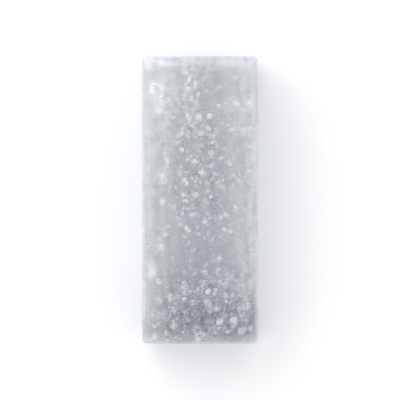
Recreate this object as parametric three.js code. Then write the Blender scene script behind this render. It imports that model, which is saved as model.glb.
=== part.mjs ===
import * as THREE from "three";
import { mergeVertices } from "three/addons/utils/BufferGeometryUtils.js";

// A bar of ice for a tall glass: one frozen piece of square section, lying on a long side.
// Millimetres, +Z up. X runs across the bar, Y along it and Z through its height.
// The origin is the middle of its footprint, on the surface that it lies on.

const barWidth = 35; // X
const barLength = 87; // Y
const barHeight = 35; // Z
const arrisRadius = 1.2; // melting has rounded every edge and corner this far

// Shape that freezing and melting leave on the faces, all measured square to the surface.
const swellHeight = 0.25; // ice grows as it freezes, so each face stands proud in its middle
const meltDepth = 0.07; // long shallow waves
const footHeight = 5; // the waves fade out over this height, down to a flat underside

// Grid of the faceted surface.
const arcSteps = 3; // facets from a face to the middle of an arris
const cellsAcross = 12; // over the flat of the width and of the height
const cellsAlong = 34; // over the flat of the length
const edgeCrowding = 0.5; // 0 spaces the lines evenly, 1 packs them towards the arrises

const halfSize = new THREE.Vector3(barWidth, barLength, barHeight).multiplyScalar(0.5);

// Knocks along the edges and corners, and shallow melt hollows on the faces.
// Each is a round scoop: its middle measured from the middle of the bar, its reach and its depth.
const scoops = [
  { at: [17.5, 31, 17.5], reach: 3.6, depth: 0.6 },
  { at: [17.5, 26, 17.5], reach: 2.4, depth: 0.35 },
  { at: [17.5, -9, 17.5], reach: 2.6, depth: 0.4 },
  { at: [17.5, -34, 17.5], reach: 3.4, depth: 0.5 },
  { at: [-17.5, 12, 17.5], reach: 3.0, depth: 0.45 },
  { at: [-17.5, -21, 17.5], reach: 2.6, depth: 0.4 },
  { at: [-17.5, -43.5, 17.5], reach: 3.8, depth: 0.8 },
  { at: [17.5, 43.5, 4], reach: 3.0, depth: 0.5 },
  { at: [-17.5, 43.5, -3], reach: 2.8, depth: 0.4 },
  { at: [17.5, -43.5, 9], reach: 3.0, depth: 0.5 },
  { at: [-6, 43.5, 17.5], reach: 3.0, depth: 0.45 },
  { at: [8, -43.5, 17.5], reach: 2.8, depth: 0.4 },
  { at: [4, 14, 17.5], reach: 9, depth: 0.14 },
  { at: [-5, -26, 17.5], reach: 10, depth: 0.16 },
  { at: [17.5, 6, 2], reach: 10, depth: 0.16 },
  { at: [-17.5, -14, 1], reach: 11, depth: 0.16 },
  { at: [2, -43.5, 1], reach: 9, depth: 0.2 },
  { at: [-3, 43.5, 2], reach: 9, depth: 0.18 },
].map((scoop) => ({ ...scoop, at: new THREE.Vector3(...scoop.at) }));

// Grid lines along one axis, from -half to +half. Within an arris they lie at equal angles,
// and over the flat they crowd towards both ends.
function gridLines(half, cells) {
  const flat = half - arrisRadius;
  const arris = (step) => flat + arrisRadius * Math.tan(((step / arcSteps) * Math.PI) / 4);
  const lines = [];
  for (let step = arcSteps; step > 0; step--) lines.push(-arris(step));
  for (let i = 0; i <= cells; i++) {
    const t = (2 * i) / cells - 1;
    lines.push(flat * THREE.MathUtils.lerp(t, Math.sin((t * Math.PI) / 2), edgeCrowding));
  }
  for (let step = 1; step <= arcSteps; step++) lines.push(arris(step));
  return lines;
}

// How far the surface stands out at a point of the plain bar, less what has melted or broken away.
function reliefAt(point, normal) {
  const u = point.clone().divide(halfSize);
  const open = new THREE.Vector3(1 - u.x * u.x, 1 - u.y * u.y, 1 - u.z * u.z);
  const swell =
    normal.x ** 2 * open.y * open.z + normal.y ** 2 * open.x * open.z + normal.z ** 2 * open.x * open.y;
  const { x, y, z } = point;
  const melt =
    Math.sin(0.23 * x + 0.9 + 0.7 * Math.sin(0.09 * y)) * Math.cos(0.17 * y + 0.4) +
    0.6 * Math.sin(0.31 * z - 0.26 * y + 2.1) * Math.cos(0.19 * x - 0.6);
  let lost = 0;
  for (const { at, reach, depth } of scoops) {
    const nearness = 1 - point.distanceToSquared(at) / reach ** 2;
    if (nearness > 0) lost += depth * nearness;
  }
  const aboveFoot = THREE.MathUtils.smoothstep(z + halfSize.z, arrisRadius / 2, footHeight);
  return aboveFoot * (swellHeight * swell + meltDepth * melt - lost);
}

// A point on the surface of the plain box goes to the rounded bar, and out or in by the relief.
function surfacePoint(boxPoint) {
  const flat = halfSize.clone().subScalar(arrisRadius);
  const core = boxPoint.clone().clamp(flat.clone().negate(), flat);
  const normal = boxPoint.clone().sub(core).normalize();
  const rounded = core.addScaledVector(normal, arrisRadius);
  return rounded.clone().addScaledVector(normal, reliefAt(rounded, normal));
}

// The six faces share their grid lines, so the bar closes once vertices in one place are merged.
function barGeometry() {
  const lines = [
    gridLines(halfSize.x, cellsAcross),
    gridLines(halfSize.y, cellsAlong),
    gridLines(halfSize.z, cellsAcross),
  ];
  const positions = [];
  const triangles = [];
  for (const axis of [0, 1, 2]) {
    const [a, b] = [(axis + 1) % 3, (axis + 2) % 3];
    for (const side of [-1, 1]) {
      const first = positions.length / 3;
      for (const along of lines[a]) {
        for (const across of lines[b]) {
          const boxPoint = new THREE.Vector3();
          boxPoint.setComponent(axis, side * halfSize.getComponent(axis));
          boxPoint.setComponent(a, along);
          boxPoint.setComponent(b, across);
          positions.push(...surfacePoint(boxPoint));
        }
      }
      const row = lines[b].length;
      for (let i = 0; i < lines[a].length - 1; i++) {
        for (let j = 0; j < row - 1; j++) {
          const corner = first + i * row + j;
          const [p, q, r, s] = [corner, corner + row, corner + row + 1, corner + 1];
          triangles.push(...(side > 0 ? [p, q, r, p, r, s] : [p, r, q, p, s, r]));
        }
      }
    }
  }
  const geometry = new THREE.BufferGeometry();
  geometry.setAttribute("position", new THREE.Float32BufferAttribute(positions, 3));
  geometry.setIndex(triangles);
  return mergeVertices(geometry, 1e-4);
}

// Sets the bar down with the middle of its footprint at the origin.
function setDown(geometry) {
  geometry.computeBoundingBox();
  const { min, max } = geometry.boundingBox;
  geometry.translate(-(min.x + max.x) / 2, -(min.y + max.y) / 2, -min.z);
  geometry.computeVertexNormals();
  return geometry;
}

const frostedIce = new THREE.MeshStandardMaterial({
  color: "#c3cad0",
  roughness: 0.3,
  metalness: 0,
  transparent: true,
  opacity: 0.6,
});

const bar = new THREE.Mesh(setDown(barGeometry()), frostedIce);
bar.name = "ice_stick";

const iceStick = new THREE.Group();
iceStick.add(bar);

export default iceStick;
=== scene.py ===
import bpy
import numpy as np
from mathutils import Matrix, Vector


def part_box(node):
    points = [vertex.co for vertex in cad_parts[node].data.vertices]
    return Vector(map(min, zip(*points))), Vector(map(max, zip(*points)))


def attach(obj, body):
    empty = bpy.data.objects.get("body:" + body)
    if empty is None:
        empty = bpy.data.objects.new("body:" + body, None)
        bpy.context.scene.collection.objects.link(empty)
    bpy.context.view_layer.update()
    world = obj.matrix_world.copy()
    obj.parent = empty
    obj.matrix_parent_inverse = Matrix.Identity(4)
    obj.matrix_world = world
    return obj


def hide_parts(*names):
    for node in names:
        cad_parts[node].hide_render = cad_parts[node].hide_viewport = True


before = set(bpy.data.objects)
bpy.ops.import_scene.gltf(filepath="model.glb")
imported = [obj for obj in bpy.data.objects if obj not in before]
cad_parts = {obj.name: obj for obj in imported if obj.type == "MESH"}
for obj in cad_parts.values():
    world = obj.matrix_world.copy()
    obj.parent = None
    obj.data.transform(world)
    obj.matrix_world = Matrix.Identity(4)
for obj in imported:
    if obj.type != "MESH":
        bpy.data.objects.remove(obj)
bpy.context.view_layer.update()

# An ice stick for a tall glass: one bar with air bubbles frozen in and frost on its edges.
# Shapes are worked out in millimetres from the middle of the bar and scaled to metres at the end.
mm = 0.001
stickLow, stickHigh = (np.array(corner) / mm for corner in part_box("ice_stick"))
stickMiddle = (stickLow + stickHigh) / 2


def smoothStep(x, start, end):
    # 0 before start, 1 past end, and an S-shaped ramp 3t^2 - 2t^3 between
    t = np.clip((x - start) / (end - start), 0, 1)
    return t * t * (3 - 2 * t)


def bell(x, middle, width):
    # exp(-t^2), where t is how far x is from the middle, in widths
    return np.exp(-(((x - middle) / width) ** 2))


def softNoise(points, wavelength, seed, waves=16):
    # sum of plane sine waves with seeded directions, lengths and phases, mostly within -1..1;
    # wavelength may differ along x, y and z, which draws the noise out into streaks
    rng = np.random.default_rng(seed)
    way = rng.normal(size=(waves, 3))
    way /= np.linalg.norm(way, axis=1, keepdims=True)
    way *= rng.uniform(0.7, 1.5, (waves, 1)) * 2 * np.pi / np.broadcast_to(wavelength, 3)
    phase = rng.uniform(0, 2 * np.pi, waves)
    return np.sin(points @ way.T + phase).sum(axis=1) * np.sqrt(2 / waves) / 1.6


def putMesh(name, points, triangles, material, attributes=None):
    # points in millimetres and triangles as whole arrays, straight into one smooth mesh, which is
    # a piece of the only body
    mesh = bpy.data.meshes.new(name)
    mesh.vertices.add(len(points))
    mesh.vertices.foreach_set("co", (points * mm).astype(np.float32).ravel())
    mesh.loops.add(triangles.size)
    mesh.loops.foreach_set("vertex_index", triangles.astype(np.int32).ravel())
    mesh.polygons.add(len(triangles))
    mesh.polygons.foreach_set("loop_start", np.arange(0, triangles.size, 3, dtype=np.int32))
    mesh.polygons.foreach_set("use_smooth", np.ones(len(triangles), dtype=bool))
    for title, values in (attributes or {}).items():
        layer = mesh.attributes.new(title, "FLOAT", "POINT")
        layer.data.foreach_set("value", values.astype(np.float32))
    mesh.update(calc_edges=True)
    mesh.materials.append(material)
    piece = bpy.data.objects.new(name, mesh)
    bpy.context.scene.collection.objects.link(piece)
    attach(piece, "root")
    print(name, "has", len(triangles), "triangles")
    return piece


bar = {
    "size": (35.0, 87.0, 35.0),  # width, length, height
    "arris": 1.2,  # radius of the melted edges and corners
    "swell": 0.25,  # how far a face stands proud in its middle
    "melt": 0.07,  # height of the long shallow waves
    "foot": 5.0,  # height over which the waves fade out above the flat underside
    "ripple": 0.02,  # height of the fine ripple that freezing leaves
    "rippleLength": 3.5,
    "cell": 0.6,  # spacing of the surface grid
    "arcSteps": 5,  # grid lines from a face to the middle of an arris
}
half = np.array(bar["size"]) / 2

# knocks along the edges and melt hollows on the faces: middle of a round scoop, reach, depth
scoops = [
    ((17.5, 31, 17.5), 3.6, 0.6),
    ((17.5, 26, 17.5), 2.4, 0.35),
    ((17.5, -9, 17.5), 2.6, 0.4),
    ((17.5, -34, 17.5), 3.4, 0.5),
    ((-17.5, 12, 17.5), 3.0, 0.45),
    ((-17.5, -21, 17.5), 2.6, 0.4),
    ((-17.5, -43.5, 17.5), 3.8, 0.8),
    ((17.5, 43.5, 4), 3.0, 0.5),
    ((-17.5, 43.5, -3), 2.8, 0.4),
    ((17.5, -43.5, 9), 3.0, 0.5),
    ((-6, 43.5, 17.5), 3.0, 0.45),
    ((8, -43.5, 17.5), 2.8, 0.4),
    ((4, 14, 17.5), 9, 0.14),
    ((-5, -26, 17.5), 10, 0.16),
    ((17.5, 6, 2), 10, 0.16),
    ((-17.5, -14, 1), 11, 0.16),
    ((2, -43.5, 1), 9, 0.2),
    ((-3, 43.5, 2), 9, 0.18),
]


def gridLines(reach):
    # even lines over the flat of a face, then lines at equal angles round each arris
    flat = reach - bar["arris"]
    cells = round(2 * flat / bar["cell"])
    turn = np.arange(1, bar["arcSteps"] + 1) / bar["arcSteps"] * np.pi / 4
    arc = flat + bar["arris"] * np.tan(turn)
    return np.concatenate([-arc[::-1], np.linspace(-flat, flat, cells + 1), arc])


def boxGrid():
    # six face grids that share their lines, joined along the edges of a plain box
    lines = [gridLines(reach) for reach in half]
    points = []
    quads = []
    first = 0
    for axis in range(3):
        a, b = (axis + 1) % 3, (axis + 2) % 3
        for side in (-1, 1):
            face = np.empty((len(lines[a]), len(lines[b]), 3))
            face[..., axis] = side * half[axis]
            face[..., a] = lines[a][:, None]
            face[..., b] = lines[b][None, :]
            index = first + np.arange(face.shape[0] * face.shape[1]).reshape(face.shape[:2])
            ring = [index[:-1, :-1], index[1:, :-1], index[1:, 1:], index[:-1, 1:]][::side]
            quads.append(np.stack(ring, axis=-1).reshape(-1, 4))
            points.append(face.reshape(-1, 3))
            first += index.size
    points = np.concatenate(points)
    places = points.round(5)  # equal to 0.00001 mm counts as one place
    keep, joined = np.unique(places, axis=0, return_index=True, return_inverse=True)[1:]
    quads = joined.reshape(-1)[np.concatenate(quads)]
    return points[keep], np.concatenate([quads[:, [0, 1, 2]], quads[:, [0, 2, 3]]])


def reliefOf(points, normals):
    # out along the normal: swell + melt waves + ripple, less the scoops, fading to 0 at the foot
    free = 1 - (points / half) ** 2
    swell = (normals**2 * free[:, [1, 2, 0]] * free[:, [2, 0, 1]]).sum(axis=1)
    x, y, z = points.T
    melt = np.sin(0.23 * x + 0.9 + 0.7 * np.sin(0.09 * y)) * np.cos(0.17 * y + 0.4)
    melt += 0.6 * np.sin(0.31 * z - 0.26 * y + 2.1) * np.cos(0.19 * x - 0.6)
    ripple = softNoise(points, bar["rippleLength"], 3)
    lost = np.zeros(len(points))
    for middle, reach, depth in scoops:
        nearness = 1 - ((points - middle) ** 2).sum(axis=1) / reach**2
        lost += depth * np.clip(nearness, 0, None)
    aboveFoot = smoothStep(z + half[2], bar["arris"] / 2, bar["foot"])
    waves = bar["swell"] * swell + bar["melt"] * melt + bar["ripple"] * ripple
    return aboveFoot * (waves - lost)


def roundedBar():
    # box grid points drawn in to the rounded box, then out or in by the relief; all is moved so
    # that its middle is at x = y = 0 and its underside as low as that of the plain box
    boxPoints, triangles = boxGrid()
    core = np.clip(boxPoints, bar["arris"] - half, half - bar["arris"])
    normals = boxPoints - core
    normals /= np.linalg.norm(normals, axis=1, keepdims=True)
    plain = core + bar["arris"] * normals
    points = plain + normals * reliefOf(plain, normals)[:, None]
    lowest, highest = points.min(axis=0), points.max(axis=0)
    points -= (lowest + highest) / 2
    points[:, 2] += (highest - lowest)[2] / 2 - half[2]
    return points, normals, triangles


frost = {
    "fresh": (0.98, 0.99, 1.0),  # tint of the ice where it is freshest
    "grey": (0.42, 0.45, 0.495),  # and where it is clearest and shows its depth; the grey is partly painted shade
    # dull share of the surface
    "clear": 0.02,  # where the ice is clear
    "most": 0.75,  # anywhere
    "band": 0.36,  # added in the cloudy bands inside the long edges
    "bandWidth": 13.5,  # a band thins out evenly over this width
    "bandWander": 0.6,  # and its inner side strays in and out by this much
    "bandNarrowing": (0.40, 0.25),  # share lost at the -Y end, and more of it over +X
    "bandFading": 0.3,  # share of its strength lost over +X
    "upperEnd": 0.26,  # added towards the +Y end
    "rim": 0.08,  # added in a narrow strip along every edge, and twice at the +Y end
    "rimWidth": 0.9,
    "line": 0.22,  # added in a thin line on the arris itself
    "lineWidth": 0.3,
    "streak": 0.04,  # faint lines along the bar in the cloudy parts
    "mottle": 0.035,  # and faint spots everywhere, twice as strong over -X towards the +Y end
    "endBand": 0.13,  # added in a soft band before the +Y end, less over -X
    "endLine": 0.28,  # and in an uneven pale line just inside the arris there, less over +X
    "endLineAt": 1.7,  # distance of that line from the edge
    "endLineWander": 0.6,
    "endLineWidth": 0.7,
    # how grey the ice looks: random tone, and painted shade where noted
    "base": 0.05,
    "lowerEnd": 0.20,  # added towards the -Y end
    "spotty": (0.09, 0.06, 0.10),  # soft spots: everywhere, more in the column, and in the patch
    "crowded": (0.03, 0.08),  # added in the column, and in the patch
    "drawnOut": 0.11,  # soft streaks along the bar
    "middle": 0.06,  # painted shade down the middle of the long faces
    "beside": 0.05,  # less on both sides of it, towards the -Y end
    "lowSides": 0.085,  # and more on both sides of the crowd before the -Y end
    "paintedOutline": (0.38, 0.26, 0.34),  # painted shade on the arrises over -X, over +X and at the +Y end, most where the light falls on them
    "outlineWidth": 1.1,
}

# milky patches on the top face: x, y, half width, half length, share added
patches = [
    (-12.9, 31.8, 2.2, 4.2, 0.08),
    (-14.4, 33.1, 0.7, 1.7, 0.30),
    (-13.0, 35.2, 1.2, 0.6, 0.20),
    (-11.4, 33.8, 0.7, 1.3, 0.23),
    (-11.9, 30.6, 0.8, 1.5, 0.22),
    (-12.6, 26.9, 1.1, 1.0, 0.24),
    (-5.0, 33.0, 4.0, 7.0, 0.04),
    (-3.1, 25.0, 0.7, 1.3, 0.16),
    (-0.4, 25.2, 0.6, 1.1, 0.12),
    (-1.2, 11.6, 0.6, 0.8, 0.08),
    (11.0, 29.4, 1.0, 1.0, 0.18),
    (15.0, 29.2, 1.0, 1.3, 0.18),
    (-11.4, 6.6, 1.2, 2.0, 0.12),
    (-14.4, -21.0, 1.3, 2.6, 0.18),
    (-12.0, -14.0, 1.0, 1.8, 0.12),
]

# clear patches darkened with painted shade on the top face: x, y, half width, half length, share
paintedShadeWindows = [
    (-3.4, -35.8, 2.8, 3.4, 0.58),
    (-2.7, -37.6, 1.6, 1.2, 0.45),
    (1.2, -37.0, 1.3, 2.6, 0.85),
    (4.3, -34.6, 1.5, 1.3, 0.60),
    (7.3, -32.6, 1.2, 1.3, 0.55),
    (10.6, -33.9, 1.5, 1.1, 0.70),
    (8.4, -38.8, 1.2, 1.3, 0.70),
    (10.8, -39.6, 1.4, 1.0, 0.50),
    (12.6, -30.6, 1.2, 1.0, 0.45),
    (15.8, -34.6, 1.5, 4.6, 0.50),
    (0.4, -32.6, 1.1, 2.2, 0.55),
    (3.2, -26.0, 1.7, 0.9, 0.40),
    (-0.8, -24.4, 1.2, 2.0, 0.25),
    (-6.9, -34.6, 1.6, 1.6, 0.40),
    (-8.4, -39.3, 1.4, 1.0, 0.35),
    (-10.6, -30.2, 0.9, 1.6, 0.30),
    (-2.3, 22.6, 1.6, 1.1, 0.32),
    (-4.2, 18.2, 1.0, 1.6, 0.25),
    (0.3, 15.0, 1.2, 1.8, 0.25),
    (-3.4, 9.2, 1.7, 1.1, 0.28),
    (1.6, 6.2, 2.0, 1.2, 0.28),
    (4.6, 8.0, 1.1, 1.3, 0.22),
    (-7.4, 3.4, 1.1, 1.8, 0.20),
    (-1.6, -1.6, 3.0, 1.1, 0.32),
    (3.4, -4.0, 1.3, 1.2, 0.25),
    (-6.4, -6.6, 1.2, 1.6, 0.22),
    (0.8, -11.8, 1.8, 1.0, 0.28),
]


# where bubbles crowd on a long face: start and full strength along y at each end, then the middle
# and the half width across the face
crowdForms = {
    "column": ((-14, -7), (34, 22), 0, 7),
    "patch": ((-42.5, -39), (-16, -34), 1, 11),
}


def topOnly(normals):
    # 1 on the top face, and down to 0 half way round its arrises
    return smoothStep(normals[:, 2], 0.5, 0.9)


def spotsOn(points, normals, rows):
    # sum over the rows of share * bell along x * bell along y, on the top face alone
    x, y = points[:, 0], points[:, 1]
    total = np.zeros(len(points))
    for middleX, middleY, width, length, share in rows:
        total += share * bell(x, middleX, width) * bell(y, middleY, length)
    return total * topOnly(normals)


def crowds(across, y):
    # a column along the middle line of a long face down to y = -12, and a wide patch that closes
    # up towards the -Y end, with clearer ice between the two
    shares = []
    for lower, upper, middle, width in crowdForms.values():
        shares.append(smoothStep(y, *lower) * smoothStep(y, *upper) * bell(across, middle, width))
    return shares


def isSide(normals):
    # true on the two long side faces
    return np.abs(normals[:, 0]) > 0.7


def distances(points, normals):
    # along the surface: to the nearest edge of any kind, and to the nearest long edge
    gaps = half - np.abs(points)
    toEdge = np.clip(np.sort(gaps, axis=1)[:, 1], 0, None)
    toLongEdge = np.where(isSide(normals), gaps[:, 2], gaps[:, 0])
    return toEdge, toLongEdge


def bandOf(points, normals):
    # (1 - t)^1.2, with t the distance from the nearest long edge in widths of the band; it is
    # weaker over +X and narrower towards the -Y end, most over +X
    x, y = points[:, 0], points[:, 1]
    wander = frost["bandWander"] * softNoise(points, (40, 30, 40), 14)
    toLongEdge = distances(points, normals)[1] + wander
    right = smoothStep(x, -5, 5)
    lost, lostRight = frost["bandNarrowing"]
    width = frost["bandWidth"] * (1 - (lost + lostRight * right) * smoothStep(y, -4, -42))
    strength = 1 - frost["bandFading"] * right
    return np.clip(1 - toLongEdge / width, 0, 1) ** 1.2 * strength


def upperEndHaze(points, normals, toEdge):
    # before the +Y end: a soft band, and on the top face a line of uneven distance and strength
    x, y = points[:, 0], points[:, 1]
    band = smoothStep(y, 35.5, 41.5) * (0.4 + 0.6 * smoothStep(x, -10, 8))
    lineAt = frost["endLineAt"] + frost["endLineWander"] * softNoise(points, 9, 33)
    line = bell(toEdge, lineAt, frost["endLineWidth"]) * smoothStep(y, 39.5, 41)
    line *= (1 - 0.5 * smoothStep(x, -14, 4)) * topOnly(normals)
    line *= 0.75 + 0.45 * softNoise(points, 4, 34)
    return frost["endBand"] * band + frost["endLine"] * line


def hazeOf(points, normals):
    # dull share of the surface: a little everywhere, more in the bands, in the patches, and
    # towards the +Y end, where it is thickest over -X
    x, y = points[:, 0], points[:, 1]
    toEdge = distances(points, normals)[0]
    band = bandOf(points, normals)
    upper = smoothStep(y, -5, 44) * (1 - 0.5 * smoothStep(x, -14, 6)) * (1 - 0.6 * band)
    rim = np.exp(-toEdge / frost["rimWidth"]) * (1 + smoothStep(y, 38, 43))
    line = bell(toEdge, 0.3 * bar["arris"], frost["lineWidth"]) * (1 + 0.3 * softNoise(points, 8, 19))
    streaks = softNoise(points, (3.5, 60, 3.5), 11) * (0.15 + band + 0.5 * upper)
    mottle = softNoise(points, 2.6, 18, 24) * (1 + smoothStep(y, 8, 26) * smoothStep(x, 8, -2))
    cover = frost["clear"] + frost["band"] * band + frost["upperEnd"] * upper
    cover += frost["rim"] * rim + frost["line"] * line
    cover += frost["streak"] * streaks + frost["mottle"] * mottle
    cover += upperEndHaze(points, normals, toEdge) + spotsOn(points, normals, patches)
    return np.clip(cover, 0.01, frost["most"])


def paintedOutlineShade(points, normals):
    # painted shade in a narrow grey strip on the arrises over -X, over +X and at the +Y end, greyest where
    # the light falls
    x, y = points[:, 0], points[:, 1]
    left, right, upperEnd = frost["paintedOutline"]
    strip = left * smoothStep(x, -15, -17) + right * smoothStep(x, 15, 17)
    strip = np.maximum(strip, upperEnd * smoothStep(y, 41, 43))
    return strip * bell(distances(points, normals)[0], 0, frost["outlineWidth"])


def shadeOf(points, normals):
    # how grey the ice looks, tone and painted shade: towards the -Y end but not on it, painted shade down
    # the middle and in the clear windows, mottled in the crowds, and painted shade on the arrises that stand
    # against the light
    y = points[:, 1]
    across = np.where(isSide(normals), points[:, 2], points[:, 0])
    column, patch = crowds(across, y)
    spots, spotsInColumn, spotsInPatch = frost["spotty"]
    inColumn, inPatch = frost["crowded"]
    shade = frost["base"] + frost["lowerEnd"] * smoothStep(y, -6, -36)
    mottle = spots + spotsInColumn * column + spotsInPatch * patch
    shade += mottle * softNoise(points, (2.8, 3.8, 2.8), 31, 24)
    shade += frost["drawnOut"] * softNoise(points, (3, 14, 3), 32)
    shade += inColumn * column + inPatch * patch
    shade += spotsOn(points, normals, paintedShadeWindows)
    shade += frost["middle"] * bell(across, 2.5, 5) * smoothStep(y, 40, 28)
    beside = bell(np.abs(across - 2), 10.5, 3) * smoothStep(y, 10, -10) * smoothStep(y, -35, -31)
    lowSides = smoothStep(np.abs(across + 1), 7, 11) * smoothStep(y, -30, -35)
    shade += frost["lowSides"] * lowSides - frost["beside"] * beside
    shade += paintedOutlineShade(points, normals)
    return np.clip(shade * smoothStep(y, -43, -40), 0, 1)


def addNode(nodes, kind, **settings):
    # a shader node with its plain settings, and with its unlinked inputs given by name
    node = nodes.new(kind)
    for name, value in settings.items():
        if name in node.inputs:
            node.inputs[name].default_value = value
        else:
            setattr(node, name, value)
    return node


ice = {
    "ior": 1.31,
    "absorption": (0.46, 0.487, 0.54),  # colour that thick ice gives to the light
    "density": 8.9,
    "grainScale": 5000,  # the haze is made of grains far finer than a millimetre
    "grainStrength": (0.4, 1.6),  # and is weaker or stronger by this from one to the next
    "roughness": (0.10, 0.50),  # of clear ice, and from the share of haze below upwards
    "dullFrom": 0.60,
    "reliefScale": 900,
    "reliefStrength": 0.25,
    "reliefHeight": 0.0001,
}


def newMaterial(name):
    # a material whose shader has the index of refraction of ice
    material = bpy.data.materials.new(name)
    material.use_nodes = True
    nodes, link = material.node_tree.nodes, material.node_tree.links.new
    shader = nodes["Principled BSDF"]
    shader.inputs["IOR"].default_value = ice["ior"]
    return material, nodes, link, shader


def mapRange(nodes, link, value, fromRange, toRange):
    # value carried evenly from one range to another, and held at its ends
    node = nodes.new("ShaderNodeMapRange")
    for socket, number in zip(("From Min", "From Max", "To Min", "To Max"), (*fromRange, *toRange)):
        node.inputs[socket].default_value = number
    link(value, node.inputs["Value"])
    return node.outputs["Result"]


def blendColours(nodes, link, value, low, high, highFrom=1.0):
    # from the low colour at 0 to the high one at highFrom and above
    ramp = nodes.new("ShaderNodeValToRGB")
    ramp.color_ramp.elements[0].color = (*low, 1)
    ramp.color_ramp.elements[1].color = (*high, 1)
    ramp.color_ramp.elements[1].position = highFrom
    link(value, ramp.inputs["Fac"])
    return ramp.outputs["Color"]


def whiteMaterial(name, look):
    # bubbles and crystals too fine to see into look white, some less than others
    material, nodes, link, shader = newMaterial(name)
    shader.inputs["Roughness"].default_value = look["roughness"]
    mottle = addNode(nodes, "ShaderNodeTexNoise", Scale=look["mottleScale"], Detail=2)
    link(nodes.new("ShaderNodeTexCoord").outputs["Object"], mottle.inputs["Vector"])
    tone = blendColours(nodes, link, mottle.outputs["Fac"], look["dim"], look["bright"])
    link(tone, shader.inputs["Base Color"])
    return material


def barMaterial():
    # see-through ice with an even absorption; haze makes part of the surface white and less smooth
    material, nodes, link, shader = newMaterial("clear_ice")
    place = nodes.new("ShaderNodeTexCoord").outputs["Object"]

    # base colour greyed by the shade attribute: random tone, and painted shade
    shade = addNode(nodes, "ShaderNodeAttribute", attribute_name="shade").outputs["Fac"]
    tint = blendColours(nodes, link, shade, frost["fresh"], frost["grey"])
    link(tint, shader.inputs["Base Color"])

    haze = addNode(nodes, "ShaderNodeAttribute", attribute_name="haze").outputs["Fac"]
    grain = addNode(nodes, "ShaderNodeTexNoise", Scale=ice["grainScale"], Detail=1)
    link(place, grain.inputs["Vector"])
    white = addNode(nodes, "ShaderNodeMath", operation="MULTIPLY")
    link(haze, white.inputs[0])
    link(mapRange(nodes, link, grain.outputs["Fac"], (0.3, 0.7), ice["grainStrength"]), white.inputs[1])
    clear = addNode(nodes, "ShaderNodeMath", operation="SUBTRACT")
    clear.inputs[0].default_value = 1
    link(white.outputs["Value"], clear.inputs[1])
    link(clear.outputs["Value"], shader.inputs["Transmission Weight"])
    rough = mapRange(nodes, link, white.outputs["Value"], (0, ice["dullFrom"]), ice["roughness"])
    link(rough, shader.inputs["Roughness"])

    relief = addNode(nodes, "ShaderNodeTexNoise", Scale=ice["reliefScale"], Detail=4, Roughness=0.65)
    link(place, relief.inputs["Vector"])
    strength, height = ice["reliefStrength"], ice["reliefHeight"]
    bump = addNode(nodes, "ShaderNodeBump", Strength=strength, Distance=height)
    link(relief.outputs["Fac"], bump.inputs["Height"])
    link(bump.outputs["Normal"], shader.inputs["Normal"])

    absorb = addNode(nodes, "ShaderNodeVolumeAbsorption", Density=ice["density"])
    absorb.inputs["Color"].default_value = (*ice["absorption"], 1)
    link(absorb.outputs["Volume"], nodes["Material Output"].inputs["Volume"])
    return material


# for each size: how many, radii, how far they lean to the small end, length over width, and the
# least thickness of ice outside them
bubbles = {
    "large": {"count": 110, "radius": (0.55, 1.2), "bias": 1.3, "stretch": (0.6, 1.0), "skin": 0.7},
    "round": {"count": 650, "radius": (0.22, 0.60), "bias": 1.4, "stretch": (0.6, 1.2), "skin": 0.6},
    "fine": {"count": 1100, "radius": (0.08, 0.22), "bias": 1.4, "stretch": (1.0, 2.0), "skin": 0.4},
    "layer": {"depth": 4, "thickness": 5.5, "sideShare": 0.35},
    "everywhere": 0.012,  # chance of one away from the crowds
    "spacing": 1.05,  # least distance between two, as a share of their radii together
    "lumps": 0.04,  # how uneven they are, as a share of the radius
    "paintedRimDepth": (4.0, 7.0),  # walls have a painted dark rim down to the first depth, and are clear below the second
    "paintedRimSize": (0.42, 0.75),  # and mostly in the larger ones, between these radii
    "side": (0.53, 0.56, 0.60),  # colour of a dim wall: painted shade for a dark rim
    "cap": (0.97, 0.98, 1.0),  # and of a clear or a frosted one; a frosted cap is frost and a painted highlight
    "clearness": (0.6, 0.95, 0.05),  # transmission of a dim, a clear and a frosted wall
    "roughness": (0.06, 0.04, 0.5),
    "capStart": (0.15, 0.60),  # where a frosted cap, frost and a painted highlight, thins out, as the cosine of its angle
    "capEdge": 0.35,  # and how much further up it is whole
}


def hollowMaterial():
    # wall of an air bubble by the attribute "wall": 0 dim with painted shade for a dark rim, 0.5 clear
    # and 1 frosted white, frost and a painted highlight; the ice round it has the volume, so it has none
    material, nodes, link, shader = newMaterial("bubble_wall")
    wall = addNode(nodes, "ShaderNodeAttribute", attribute_name="wall").outputs["Fac"]
    tone = blendColours(nodes, link, wall, bubbles["side"], bubbles["cap"], 0.5)
    link(tone, shader.inputs["Base Color"])
    finish = {"Transmission Weight": bubbles["clearness"], "Roughness": bubbles["roughness"]}
    for socket, (dim, clear, frostedWithPaintedHighlight) in finish.items():
        curve = nodes.new("ShaderNodeFloatCurve")
        points = curve.mapping.curves[0].points
        points[0].location = (0, dim)
        points[1].location = (1, frostedWithPaintedHighlight)
        points.new(0.5, clear)
        curve.mapping.update()
        link(wall, curve.inputs["Value"])
        link(curve.outputs["Value"], shader.inputs[socket])
    return material


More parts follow.
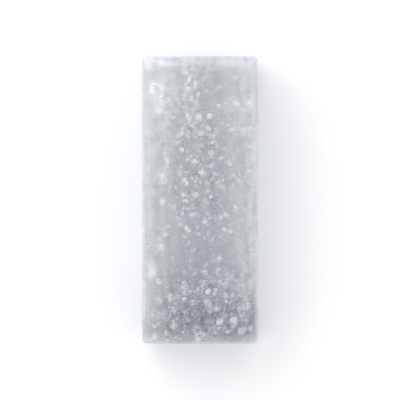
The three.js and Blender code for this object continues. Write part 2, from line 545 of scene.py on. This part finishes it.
# the ones that show best from above: x, y, depth of the middle below the top face, radius
shownBubbles = [
    (2.4, -28.0, 2.6, 1.10),
    (2.5, -31.4, 3.2, 1.20),
    (5.4, -33.2, 2.4, 1.00),
    (5.7, -37.2, 2.6, 1.70),
    (10.2, -36.4, 2.8, 1.40),
    (12.2, -33.2, 3.4, 1.10),
    (12.0, -39.8, 2.6, 0.90),
    (1.2, -40.6, 3.0, 0.80),
    (-9.0, -29.6, 3.0, 0.95),
    (-7.6, -38.2, 2.8, 1.10),
    (-4.0, -9.0, 2.4, 1.30),
    (-2.2, -4.4, 2.8, 1.15),
    (1.6, -6.4, 3.6, 0.90),
    (-1.4, 1.6, 3.0, 0.95),
    (-4.4, 5.6, 3.0, 0.95),
    (0.6, 8.4, 2.6, 0.95),
    (-1.4, 11.4, 3.0, 0.90),
    (-5.2, 15.2, 3.4, 0.90),
    (3.2, 14.2, 3.2, 0.80),
    (-2.2, 22.4, 3.0, 1.00),
]


def unitBall(sides, rings):
    # ball by longitude and latitude: one point at each pole and rings of points between
    turn = np.arange(sides) * 2 * np.pi / sides
    fall = np.arange(1, rings + 1) * np.pi / (rings + 1)
    ring = np.stack(
        [
            np.sin(fall)[:, None] * np.cos(turn),
            np.sin(fall)[:, None] * np.sin(turn),
            np.repeat(np.cos(fall)[:, None], sides, axis=1),
        ],
        axis=-1,
    ).reshape(-1, 3)
    points = np.concatenate([[[0, 0, 1]], ring, [[0, 0, -1]]])
    here = np.arange(sides)
    after = (here + 1) % sides
    last = len(points) - 1
    top = np.stack([np.zeros_like(here), 1 + here, 1 + after], axis=1)
    foot = last - sides
    bottom = np.stack([np.full_like(here, last), foot + after, foot + here], axis=1)
    bands = []
    for k in range(rings - 1):
        upper, lower = 1 + k * sides, 1 + (k + 1) * sides
        bands.append(np.stack([upper + here, lower + here, lower + after], axis=1))
        bands.append(np.stack([upper + here, lower + after, upper + after], axis=1))
    return points, np.concatenate([top, bottom] + bands)


def manyBalls(ball, centres, radii, longAxes, stretches, lumps=0.0):
    # every ball scaled by its radius, drawn out along its long axis and moved to its centre;
    # lumps is how far its points stray in and out, as a share of the radius
    points, triangles = ball
    along = np.einsum("vi,ni->nv", points, longAxes)[..., None] * longAxes[:, None, :]
    grown = points[None] + along * (stretches[:, None, None] - 1)
    grown = grown * (1 + lumps * np.random.default_rng(len(centres)).normal(size=grown.shape[:2] + (1,)))
    placed = centres[:, None, :] + radii[:, None, None] * grown
    offsets = np.arange(len(centres))[:, None, None] * len(points)
    return placed.reshape(-1, 3), (triangles[None] + offsets).reshape(-1, 3)


def joinParts(parts):
    # (points, triangles) pairs put one after another
    points = np.concatenate([part[0] for part in parts])
    starts = np.cumsum([0] + [len(part[0]) for part in parts[:-1]])
    return points, np.concatenate([part[1] + start for part, start in zip(parts, starts)])


crowding = {
    "column": 0.45,  # how close they lie in the column, with 1 in the patch
    "sideFading": 0.4,  # share lost on the side over +X
    "sideDrop": 3,  # the crowds of a side lie this far below its middle line
    "tries": 150,  # places tried for each one that is wanted
    "spare": 2,  # and places kept for each, before those too near the surface drop out
    "lean": 0.12,  # how far they stray from square to the face
}


def crowdShare(points, depth, thickness, sideShare):
    # chance of a bubble: the crowds of the top face and, less close, of the two sides, each in a
    # layer round a depth below its face
    x, y, z = points.T
    above = bell(half[2] - z, depth, thickness)
    beside = bell(half[0] - np.abs(x), depth, thickness)
    beside *= sideShare * (1 - crowding["sideFading"] * smoothStep(x, -5, 5))
    column, patch = crowds(x, y)
    sideColumn, sidePatch = crowds(z + crowding["sideDrop"], y)
    closeness = crowding["column"]
    return above * (closeness * column + patch) + beside * (closeness * sideColumn + sidePatch)


def bubbleShare(points):
    # in clusters, with a few everywhere
    clusters = smoothStep(softNoise(points, 6, 21), -0.5, 0.8)
    return (crowdShare(points, **bubbles["layer"]) + bubbles["everywhere"]) * (0.1 + 0.9 * clusters)


def mostlySmall(rng, sizes, bias, count):
    # sizes from the first to the second, small * (large / small)^(t^bias) with t random in 0..1
    small, large = sizes
    return small * (large / small) ** (rng.random(count) ** bias)


def scatterInside(kind, seed, share):
    # seeded random places kept by their chance, sizes mostly small, none through the surface;
    # longer or flatter square to the nearest face, the way that the ice grew
    rng = np.random.default_rng(seed)
    count = kind["count"]
    places = rng.uniform(-half, half, (count * crowding["tries"], 3))
    places = places[rng.random(len(places)) < share(places)][: count * crowding["spare"]]
    radii = mostlySmall(rng, kind["radius"], kind["bias"], len(places))
    stretches = rng.uniform(*kind["stretch"], len(places))
    gap = half - np.abs(places)
    ways = np.eye(3)[gap.argmin(axis=1)] + crowding["lean"] * rng.normal(size=places.shape)
    ways /= np.linalg.norm(ways, axis=1, keepdims=True)
    inside = gap.min(axis=1) > kind["skin"] + radii * stretches
    return [part[inside][:count] for part in (places, radii, ways, stretches)]


def shownInside():
    # the bubbles listed above, in the same four arrays
    rows = np.array(shownBubbles)
    places = rows[:, :3] * (1, 1, -1) + (0, 0, half[2])
    return [places, rows[:, 3], np.tile([0.0, 0.0, 1.0], (len(rows), 1)), np.ones(len(rows))]


def apart(places, radii):
    # drops each ball that comes too near an earlier one
    distance = np.linalg.norm(places[:, None] - places[None], axis=2)
    clash = distance < bubbles["spacing"] * (radii[:, None] + radii[None])
    return ~np.tril(clash, -1).any(axis=1)


def wallsOf(points, middles, radii, capStarts):
    # 1 facing up or down, frost and a painted highlight; elsewhere 0.5, or down to 0, a painted dark rim, in
    # larger ones near the top face
    outwards = points - middles
    upwards = np.abs(outwards[:, 2]) / np.linalg.norm(outwards, axis=1)
    nearTop = smoothStep(half[2] - middles[:, 2], *bubbles["paintedRimDepth"][::-1])
    sideWall = 0.5 - 0.5 * smoothStep(radii, *bubbles["paintedRimSize"]) * nearTop
    return sideWall + (1 - sideWall) * smoothStep(upwards, capStarts, capStarts + bubbles["capEdge"])


def airBubbles():
    # closed hollows in the ice, with their faces turned to the air in them, and what their walls
    # are like
    groups = [
        (shownInside(), unitBall(14, 7)),
        (scatterInside(bubbles["large"], 41, bubbleShare), unitBall(12, 5)),
        (scatterInside(bubbles["round"], 42, bubbleShare), unitBall(8, 3)),
        (scatterInside(bubbles["fine"], 43, bubbleShare), unitBall(5, 2)),
    ]
    places, radii, ways, stretches = (np.concatenate(p) for p in zip(*(group[0] for group in groups)))
    keep = apart(places, radii * stretches)
    capStarts = np.random.default_rng(44).uniform(*bubbles["capStart"], len(keep))
    parts, walls = [], []
    first = 0
    for group, ball in groups:
        here = slice(first, first + len(group[0]))
        first = here.stop
        kept = keep[here]
        parts.append(manyBalls(ball, *(part[kept] for part in group), lumps=bubbles["lumps"]))
        perPoint = [np.repeat(part[kept], len(ball[0]), axis=0) for part in (*group[:2], capStarts[here])]
        walls.append(wallsOf(parts[-1][0], *perPoint))
    points, triangles = joinParts(parts)
    print("air bubbles:", int(keep.sum()), "of", len(keep))
    return points, triangles[:, ::-1], np.concatenate(walls)


# sets the bar down in its place
stickLift = stickMiddle + (0, 0, half[2] - stickMiddle[2])
barSurface = roundedBar()


def makeBar():
    # the outside and the hollows in it are one mesh
    points, normals, triangles = barSurface
    holes, holeTriangles, walls = airBubbles()
    allPoints, allTriangles = joinParts([(points, triangles), (holes, holeTriangles)])
    # shade carries painted shade as well as tone, and wall the painted dark rims and highlights of the
    # bubbles
    attributes = {
        "haze": np.concatenate([hazeOf(points, normals), np.zeros(len(holes))]),
        "shade": np.concatenate([shadeOf(points, normals), np.zeros(len(holes))]),
        "wall": np.concatenate([np.zeros(len(points)), walls]),
    }
    piece = putMesh("ice_bar", allPoints + stickLift, allTriangles, barMaterial(), attributes)
    piece.data.materials.append(hollowMaterial())
    isHole = np.arange(len(allTriangles)) >= len(triangles)
    piece.data.polygons.foreach_set("material_index", isHole.astype(np.int32))
    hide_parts("ice_stick")


makeBar()


def scatterOnSurface(count, seed, share):
    # seeded random points on the faces of the bar above its foot, chosen by area and share
    rng = np.random.default_rng(seed)
    points, normals, triangles = barSurface
    corners = points[triangles]
    area = np.linalg.norm(np.cross(corners[:, 1] - corners[:, 0], corners[:, 2] - corners[:, 0]), axis=1)
    middles = corners.mean(axis=1)
    facing = normals[triangles].mean(axis=1)
    chance = area * share(middles, facing) * smoothStep(middles[:, 2] + half[2], 0.8, 3)
    chosen = rng.choice(len(triangles), count, p=chance / chance.sum())
    places = np.einsum("nk,nkd->nd", rng.dirichlet((1, 1, 1), count), corners[chosen])
    return places, facing[chosen]


veil = {
    "count": 9000,
    "radius": (0.06, 0.22),
    "bias": 1.6,
    "depth": (0.35, 2.2),  # below the surface
    "depthBias": 1.5,
    "thickness": (0.6, 1.3),  # square to the surface, as a share of the width
    "dim": (0.82, 0.86, 0.88),
    "bright": (0.95, 0.97, 0.98),
    "roughness": 0.45,
    "mottleScale": 700,
}


def veilShare(points, normals):
    # soft clouds in the bands by the long edges and at the +Y end, a quarter as close on the top
    # face
    cloud = smoothStep(softNoise(points, (7, 20, 7), 15), -0.4, 0.9)
    upper = smoothStep(points[:, 1], 5, 44)
    share = 0.03 + cloud * (0.6 * bandOf(points, normals) + 0.4 * upper)
    return share * np.where(normals[:, 2] > 0.7, 0.25, 1)


def makeVeil():
    # specks of trapped air just under the skin
    rng = np.random.default_rng(71)
    places, facing = scatterOnSurface(veil["count"], 72, veilShare)
    radii = mostlySmall(rng, veil["radius"], veil["bias"], len(places))
    shallow, deep = veil["depth"]
    depths = shallow + (deep - shallow) * rng.random(len(places)) ** veil["depthBias"]
    places = places - facing * depths[:, None]
    thickness = rng.uniform(*veil["thickness"], len(places))
    points, triangles = manyBalls(unitBall(5, 1), places, radii, facing, thickness)
    putMesh("veil", points + stickLift, triangles, whiteMaterial("veil", veil))


specks = {
    "single": {"count": 1900, "radius": (0.08, 0.34), "bias": 1.5, "stretch": (1.0, 1.4), "skin": 0.5},
    "singleLayer": {"depth": 2, "thickness": 3.5, "sideShare": 0.3},
    "singleEverywhere": 0.012,  # chance of one away from the crowds
    "singleLumps": 0.08,
    # a puff is a close heart of a few lumps run together, in a bell-shaped spread of grains
    "smallPuff": {"count": 210, "radius": (0.18, 0.55), "bias": 1.3, "stretch": (1.0, 1.0), "skin": 1.2},
    "puffLayer": {"depth": 2, "thickness": 3.5, "sideShare": 0.06},
    "puffEverywhere": 0.004,
    "puffThinning": 0.75,  # share left out over -X in the crowd before the -Y end
    "byHand": 0.8,  # spread of the puffs listed below, as a share of their width and length
    "grainsInPuff": 36,
    "puffGrain": (0.09, 0.22),
    "grainThickness": 0.7,
    "heart": 1.5,  # size of the heart, as a share of the spread
    "lobes": 3,
    "lobeSize": 0.82,  # radius of a lump, as a share of the heart's
    "lobeStray": 0.55,  # how far its middle strays, as a share of the heart's size
    "lobeStretch": 1.2,  # drawn out along the bar
    "lobeLumps": 0.12,
    "lobeCover": 1.3,  # least depth of its middle below the skin, in radii
    "skin": 0.4,  # clear ice over the highest grain
    "dim": (0.94, 0.96, 0.97),
    "bright": (1.0, 1.0, 1.0),
    "roughness": 0.45,
    "mottleScale": 700,
}

# cloudlets of tiny bubbles seen from above: x, y, depth below the top face, width, length
puffs = [
    (-14.2, 33.7, 0.7, 0.5, 1.0),
    (-11.7, 34.4, 0.7, 0.4, 0.8),
    (-11.7, 30.7, 0.7, 0.4, 1.1),
    (-12.5, 26.9, 0.8, 0.6, 1.0),
    (-9.6, 30.6, 1.0, 0.4, 1.3),
    (-3.2, 36.6, 1.8, 0.5, 0.8),
    (-1.2, 35.2, 2.0, 0.4, 0.8),
    (-3.4, 33.4, 2.2, 0.5, 0.7),
    (-2.6, 30.6, 1.8, 0.5, 0.9),
    (-0.6, 32.0, 2.2, 0.4, 0.7),
    (-3.1, 24.8, 0.9, 0.8, 1.4),
    (-0.4, 25.0, 1.1, 0.6, 1.2),
    (0.5, 20.4, 2.0, 0.7, 0.6),
    (-5.2, 20.0, 3.0, 0.7, 0.6),
    (-6.2, 17.2, 4.0, 0.8, 0.6),
    (-5.2, 15.2, 2.0, 0.9, 0.7),
    (11.0, 29.2, 2.0, 0.6, 0.6),
    (15.0, 29.2, 1.6, 0.6, 0.8),
    (9.5, 21.4, 2.0, 0.8, 0.4),
    (3.2, 14.2, 1.6, 0.6, 0.5),
    (-10.1, 12.2, 2.0, 0.7, 0.6),
    (-1.4, 11.4, 1.8, 0.7, 0.7),
    (3.4, 10.4, 2.4, 0.5, 0.5),
    (0.6, 8.4, 1.2, 0.8, 0.7),
    (-4.4, 5.6, 1.8, 0.8, 0.7),
    (-2.2, 6.4, 3.2, 0.5, 0.6),
    (-11.3, 7.2, 2.0, 0.6, 0.7),
    (-1.4, 1.6, 1.8, 0.9, 0.6),
    (5.2, 5.0, 3.0, 0.5, 0.4),
    (-11.4, -0.6, 2.0, 0.6, 0.8),
    (-2.2, -4.4, 1.6, 0.9, 0.6),
    (1.6, -6.4, 2.4, 0.6, 0.6),
    (-4.0, -9.0, 1.2, 0.9, 0.8),
    (-0.4, -10.2, 3.4, 0.6, 0.4),
    (7.4, -9.1, 2.4, 0.5, 0.4),
    (-11.9, -13.8, 2.0, 0.6, 0.6),
    (-14.5, -22.2, 1.6, 0.8, 1.0),
    (-12.4, -24.6, 2.2, 0.6, 0.6),
    (2.4, -28.0, 1.3, 0.7, 0.7),
    (2.5, -31.4, 1.9, 0.7, 0.9),
    (5.4, -33.2, 1.3, 0.7, 0.7),
    (5.7, -37.2, 2.4, 1.0, 1.0),
    (10.2, -36.6, 2.2, 0.9, 0.9),
    (12.2, -33.2, 2.2, 0.8, 0.7),
    (12.0, -39.8, 1.6, 0.6, 0.8),
    (-1.4, -38.6, 2.4, 0.8, 0.5),
    (1.2, -40.6, 2.0, 0.7, 0.5),
    (-9.0, -29.6, 1.8, 0.6, 1.0),
    (-7.6, -38.2, 1.5, 0.7, 0.7),
    (-10.2, -40.4, 1.6, 0.7, 0.6),
    (-13.6, -41.2, 1.6, 0.7, 0.7),
]


def speckShare(points):
    # the same crowds as the bubbles, nearer to the faces
    clusters = smoothStep(softNoise(points, 5, 22), -0.3, 0.9)
    share = crowdShare(points, **specks["singleLayer"]) + specks["singleEverywhere"]
    return share * (0.15 + 0.85 * clusters)


def puffShare(points):
    # hardly any beside the sides, where they would show dark against the light, and fewer over -X
    # in the crowd before the -Y end
    x, y = points[:, 0], points[:, 1]
    fewer = specks["puffThinning"] * smoothStep(x, 2, -5) * smoothStep(y, -20, -28)
    return crowdShare(points, **specks["puffLayer"]) * (1 - fewer) + specks["puffEverywhere"]


def makeSpecks():
    # single specks scattered as the bubbles are, and puffs: some listed, most of them scattered
    rng = np.random.default_rng(51)
    single = scatterInside(specks["single"], 52, speckShare)
    small = scatterInside(specks["smallPuff"], 53, puffShare)
    rows = np.array(puffs)
    middles = np.concatenate([rows[:, :3] * (1, 1, -1) + (0, 0, half[2]), small[0]])
    widths = np.concatenate([rows[:, [3, 4, 3]] * specks["byHand"], np.repeat(small[1][:, None], 3, axis=1)])

    hearts = widths * specks["heart"]
    stray = specks["lobeStray"]
    strays = rng.uniform(-stray, stray, (len(middles), specks["lobes"], 3)) * hearts[:, None]
    lobes = (middles[:, None] + strays).reshape(-1, 3)
    lobeRadii = np.repeat(hearts.min(axis=1) * specks["lobeSize"], specks["lobes"])
    cover = specks["skin"] + specks["lobeCover"] * lobeRadii
    lobes[:, 2] = np.minimum(lobes[:, 2], half[2] - cover)
    lobeStretches = np.full(len(lobes), specks["lobeStretch"])
    alongBar = np.tile([0.0, 1.0, 0.0], (len(lobes), 1))

    spread = rng.normal(size=(len(middles), specks["grainsInPuff"], 3)) * widths[:, None]
    grains = (middles[:, None] + spread).reshape(-1, 3)
    grains = grains[(half - np.abs(grains)).min(axis=1) > specks["skin"]]
    radii = rng.uniform(*specks["puffGrain"], len(grains))
    thickness = np.full(len(grains), specks["grainThickness"])
    upright = np.tile([0.0, 0.0, 1.0], (len(grains), 1))

    parts = [
        manyBalls(unitBall(8, 3), lobes, lobeRadii, alongBar, lobeStretches, specks["lobeLumps"]),
        manyBalls(unitBall(5, 2), *single, specks["singleLumps"]),
        manyBalls(unitBall(5, 1), grains, radii, upright, thickness),
    ]
    points, triangles = joinParts(parts)
    putMesh("bubble_cloud", points + stickLift, triangles, whiteMaterial("bubble_cloud", specks))


makeSpecks()
makeVeil()


rime = {
    "count": 12000,
    "radius": (0.05, 0.17),
    "bias": 1.8,
    "stretch": (0.8, 2.2),
    "sunk": 0.3,  # share of the radius below the surface
    "edgeWidth": 0.8,  # they crowd on every edge in a strip this wide
    "onPatches": 1.6,  # how close they lie on a milky patch, for each unit of its share
    "grown": 7.0,  # and how much larger they are there
    "dim": (0.70, 0.73, 0.76),
    "bright": (0.90, 0.92, 0.94),
    "roughness": 0.35,
    "mottleScale": 1500,
}


def rimeShare(points, normals):
    # close together on every edge, with gaps, on the milky patches of the top face, and a thin
    # scatter over the side and end faces
    edge = bell(distances(points, normals)[0], 0, rime["edgeWidth"])
    gaps = 0.5 + smoothStep(softNoise(points, 5, 16), -0.8, 0.5)
    clumps = smoothStep(softNoise(points, 4, 17), 0.2, 1.2)
    spread = np.where(normals[:, 2] > 0.7, 0.004, 0.03 + 0.08 * clumps)
    return edge * gaps + spread + rime["onPatches"] * spotsOn(points, normals, patches)


def makeRime():
    # hoar crystals: small six-sided double pyramids, turned every way, part sunk in the surface
    rng = np.random.default_rng(61)
    places, facing = scatterOnSurface(rime["count"], 62, rimeShare)
    radii = mostlySmall(rng, rime["radius"], rime["bias"], len(places))
    radii *= 1 + rime["grown"] * spotsOn(places, facing, patches)
    places = places - facing * (radii * rime["sunk"])[:, None]
    ways = rng.normal(size=places.shape) + facing
    ways /= np.linalg.norm(ways, axis=1, keepdims=True)
    stretches = rng.uniform(*rime["stretch"], len(places))
    points, triangles = manyBalls(unitBall(6, 1), places, radii, ways, stretches)
    putMesh("rime", points + stickLift, triangles, whiteMaterial("rime", rime))


makeRime()


# lengths in metres, apart from the lens in millimetres
studio = {
    "floorSize": 6.0,
    "floorDrop": 0.00005,  # keeps it clear of the underside of the bar
    "floorColour": (0.9, 0.9, 0.9),
    "floorRoughness": 0.7,
    "skyColour": (0.97, 0.985, 1),
    "skyMiddle": 0.84,  # brightness half way between the bright and the dim side
    "skySwing": 0.62,  # how much brighter the side that the light comes from is, as a share
    "lightFrom": (-0.38, 0.40, 0.83),
    "lampDistance": 2.4,
    "lampSize": 1.6,
    "lampWatts": 10,
    "cameraHeight": 1.0,
    "lens": 287,
}


def makeStudio():
    # pale floor under a sky that is brightest over -X and +Y, with a weak soft lamp there; its
    # brightness is middle * (1 + swing * the cosine of the angle from that side)
    bpy.ops.mesh.primitive_plane_add(size=studio["floorSize"])
    floor = bpy.context.object
    floor.name = "floor"
    floor.location.z = -studio["floorDrop"]
    material = bpy.data.materials.new("pale_floor")
    material.use_nodes = True
    shader = material.node_tree.nodes["Principled BSDF"]
    shader.inputs["Base Color"].default_value = (*studio["floorColour"], 1)
    shader.inputs["Roughness"].default_value = studio["floorRoughness"]
    floor.data.materials.append(material)

    world = bpy.data.worlds.new("studio")
    world.use_nodes = True
    nodes, link = world.node_tree.nodes, world.node_tree.links.new
    sky = nodes["Background"]
    sky.inputs["Color"].default_value = (*studio["skyColour"], 1)
    facing = addNode(nodes, "ShaderNodeVectorMath", operation="DOT_PRODUCT")
    facing.inputs[1].default_value = Vector(studio["lightFrom"]).normalized()
    link(nodes.new("ShaderNodeTexCoord").outputs["Generated"], facing.inputs[0])
    level = addNode(nodes, "ShaderNodeMath", operation="MULTIPLY_ADD")
    level.inputs[1].default_value = studio["skyMiddle"] * studio["skySwing"]
    level.inputs[2].default_value = studio["skyMiddle"]
    link(facing.outputs["Value"], level.inputs[0])
    link(level.outputs["Value"], sky.inputs["Strength"])
    bpy.context.scene.world = world

    lamp = bpy.data.lights.new("lamp", "AREA")
    lamp.shape = "SQUARE"
    lamp.size = studio["lampSize"]
    lamp.energy = studio["lampWatts"]
    holder = bpy.data.objects.new("lamp", lamp)
    holder.location = Vector(studio["lightFrom"]).normalized() * studio["lampDistance"]
    holder.rotation_euler = (-holder.location).to_track_quat("-Z", "Y").to_euler()
    bpy.context.scene.collection.objects.link(holder)


def makeCamera():
    # straight overhead, with +Y at the top
    lens = bpy.data.cameras.new("camera")
    lens.lens = studio["lens"]
    lens.clip_start = 0.01
    camera = bpy.data.objects.new("camera", lens)
    camera.location = (0, 0, studio["cameraHeight"])
    bpy.context.scene.collection.objects.link(camera)
    bpy.context.scene.camera = camera
    bpy.context.scene.view_settings.view_transform = "Standard"


makeStudio()
makeCamera()
print("studio and camera are set")
